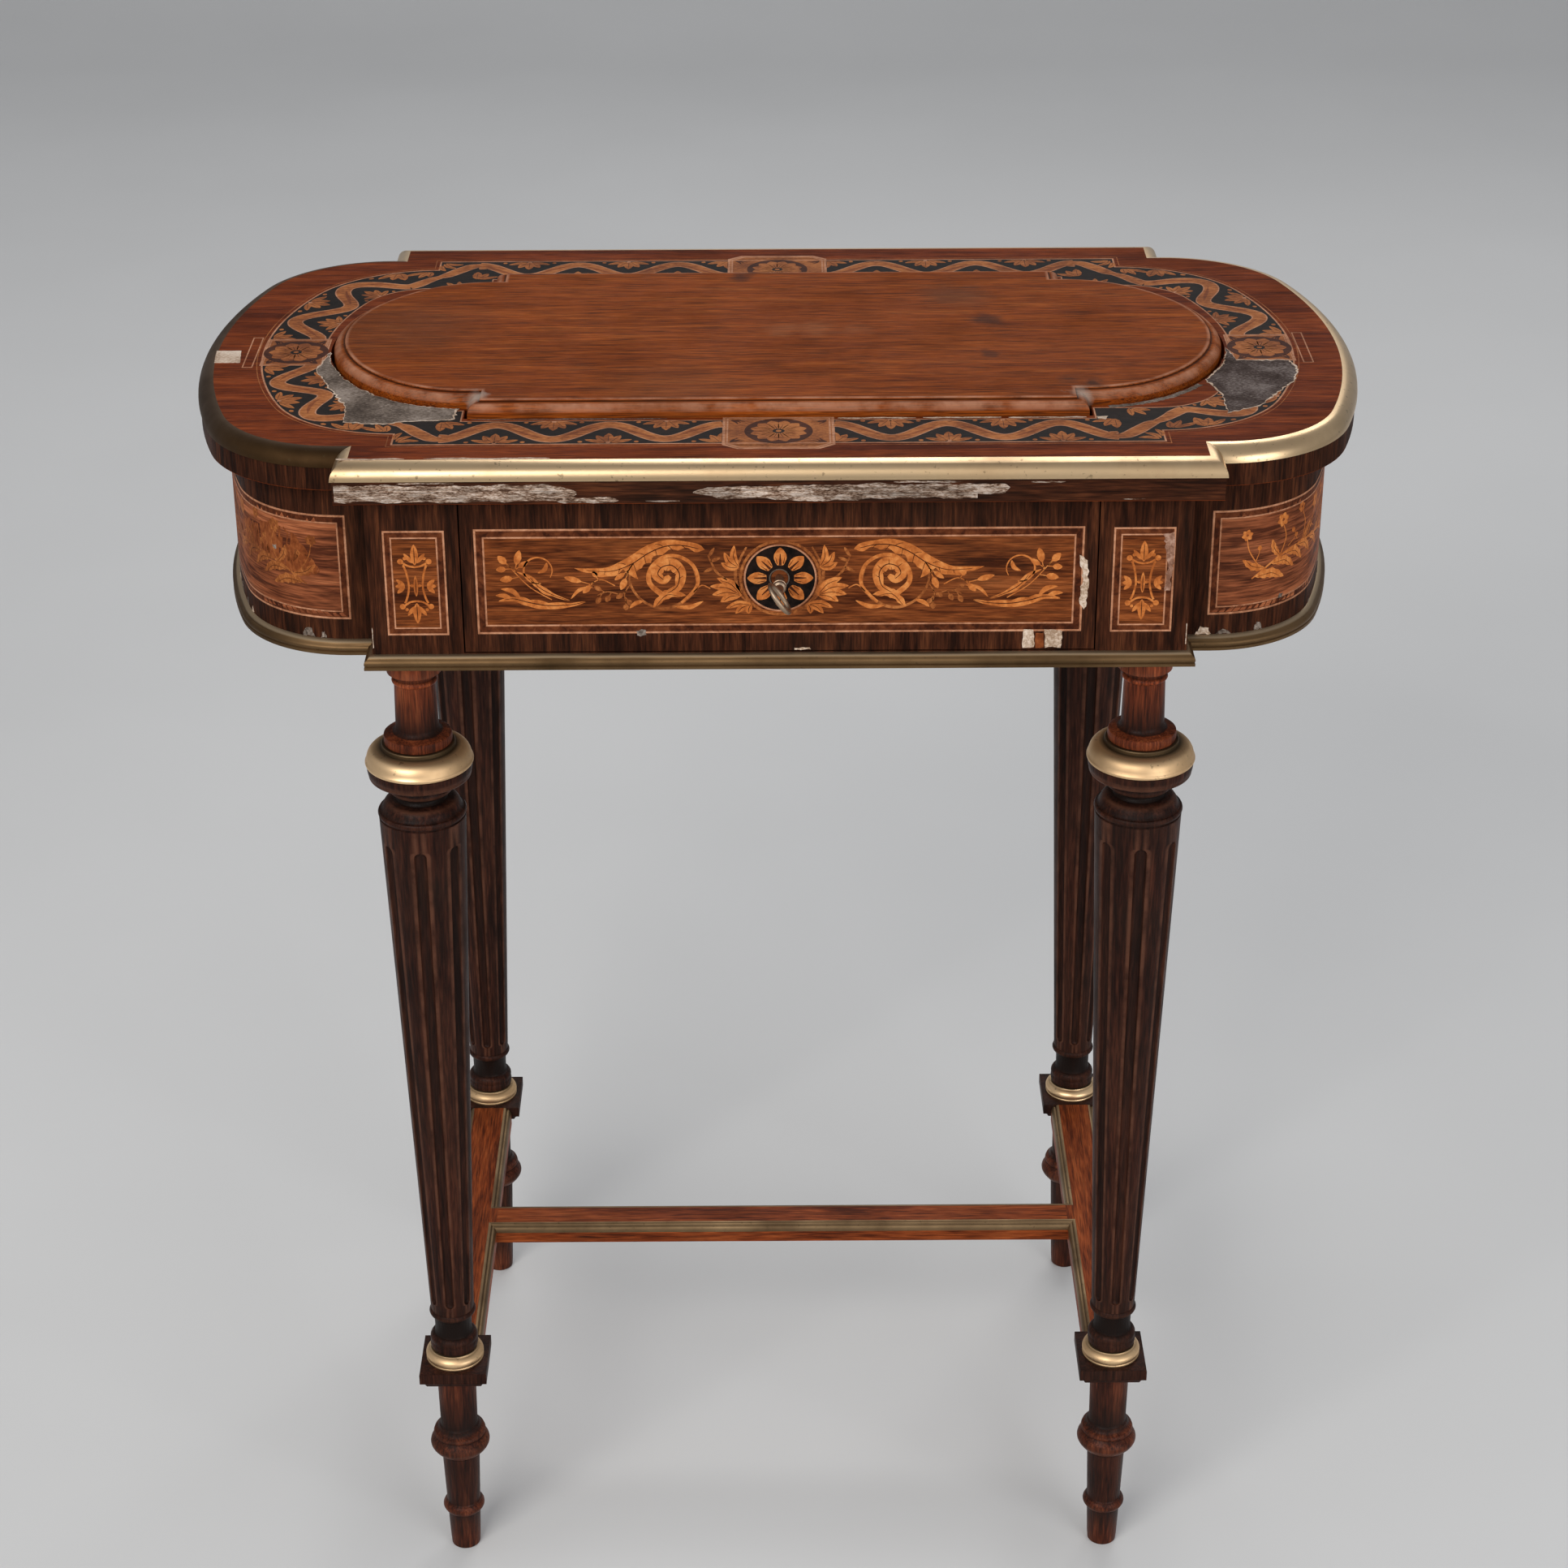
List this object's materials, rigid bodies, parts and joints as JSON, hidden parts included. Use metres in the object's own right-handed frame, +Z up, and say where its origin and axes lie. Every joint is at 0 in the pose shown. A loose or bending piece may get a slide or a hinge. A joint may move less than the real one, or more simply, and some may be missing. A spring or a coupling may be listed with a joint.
{
  "type": "dressing table",
  "caption": "Small inlaid dressing table with a lift-up mirrored lid over a well, a locking frieze drawer, fluted turned legs and an H stretcher",
  "frame": {"origin": "on the floor under the middle of the whole table with its key, so the table itself stands 10.5 mm behind it", "axes": "+Z up, -Y to the drawer front and its key, +X to the right as seen from the front"},
  "size_m": [0.654, 0.388, 0.748],
  "materials": {
    "rosewood_veneer": "satin",
    "veneered_top": "satin",
    "walnut": "satin",
    "stained_wood": "satin",
    "carcase_wood": "matte",
    "brass": "aged",
    "iron": "aged",
    "mirror": "polished"
  },
  "bodies": {
    "table": {"ankle_rings": "brass", "back_apron": "rosewood_veneer", "corner_post_back_left": "rosewood_veneer", "corner_post_back_right": "rosewood_veneer", "corner_post_front_left": "rosewood_veneer", "corner_post_front_right": "rosewood_veneer", "cross_stretcher": "stained_wood", "cross_trim_back": "brass", "cross_trim_front": "brass", "drawer_runner_left": "carcase_wood", "drawer_runner_right": "carcase_wood", "drawer_stops": "carcase_wood", "end_apron_left": "rosewood_veneer", "end_apron_right": "rosewood_veneer", "feet": "stained_wood", "frieze_moulding": "brass", "front_rail": "rosewood_veneer", "hinge_leaves_top": "brass", "leg_back_left": "stained_wood", "leg_back_right": "stained_wood", "leg_collars": "brass", "leg_front_left": "stained_wood", "leg_front_right": "stained_wood", "plinth_blocks": "stained_wood", "side_stretcher_left": "stained_wood", "side_stretcher_right": "stained_wood", "side_trim_left": "brass", "side_trim_right": "brass", "strike_plate": "brass", "top_board": "veneered_top", "top_edge": "brass", "well_divider_left": "carcase_wood", "well_divider_right": "carcase_wood", "well_floor": "carcase_wood", "well_walls": "carcase_wood"},
    "drawer": {"drawer_front": "rosewood_veneer", "drawer_side_left": "carcase_wood", "drawer_side_right": "carcase_wood", "drawer_back": "carcase_wood", "drawer_bottom": "carcase_wood", "lock_case": "iron", "lock_bolt": "iron"},
    "lid": {"lid_panel": "walnut", "mirror_frame": "walnut", "mirror_glass": "mirror", "hinge_leaves_lid": "brass"},
    "key": {"key": "iron"}
  },
  "joints": [
    {"name": "drawer_slide", "type": "slide", "parent": "table", "child": "drawer", "axis": [0, -1, 0], "range_m": [0, 0.24]},
    {"name": "lid_hinge", "type": "hinge", "parent": "table", "child": "lid", "pos_m": [0, 0.1245, 0.7416], "axis": [-1, 0, 0], "range_deg": [0, 100]},
    {"name": "key_turn", "type": "hinge", "parent": "drawer", "child": "key", "pos_m": [0, -0.16, 0.669], "axis": [0, -1, 0], "range_deg": [-35, 325]}
  ]
}
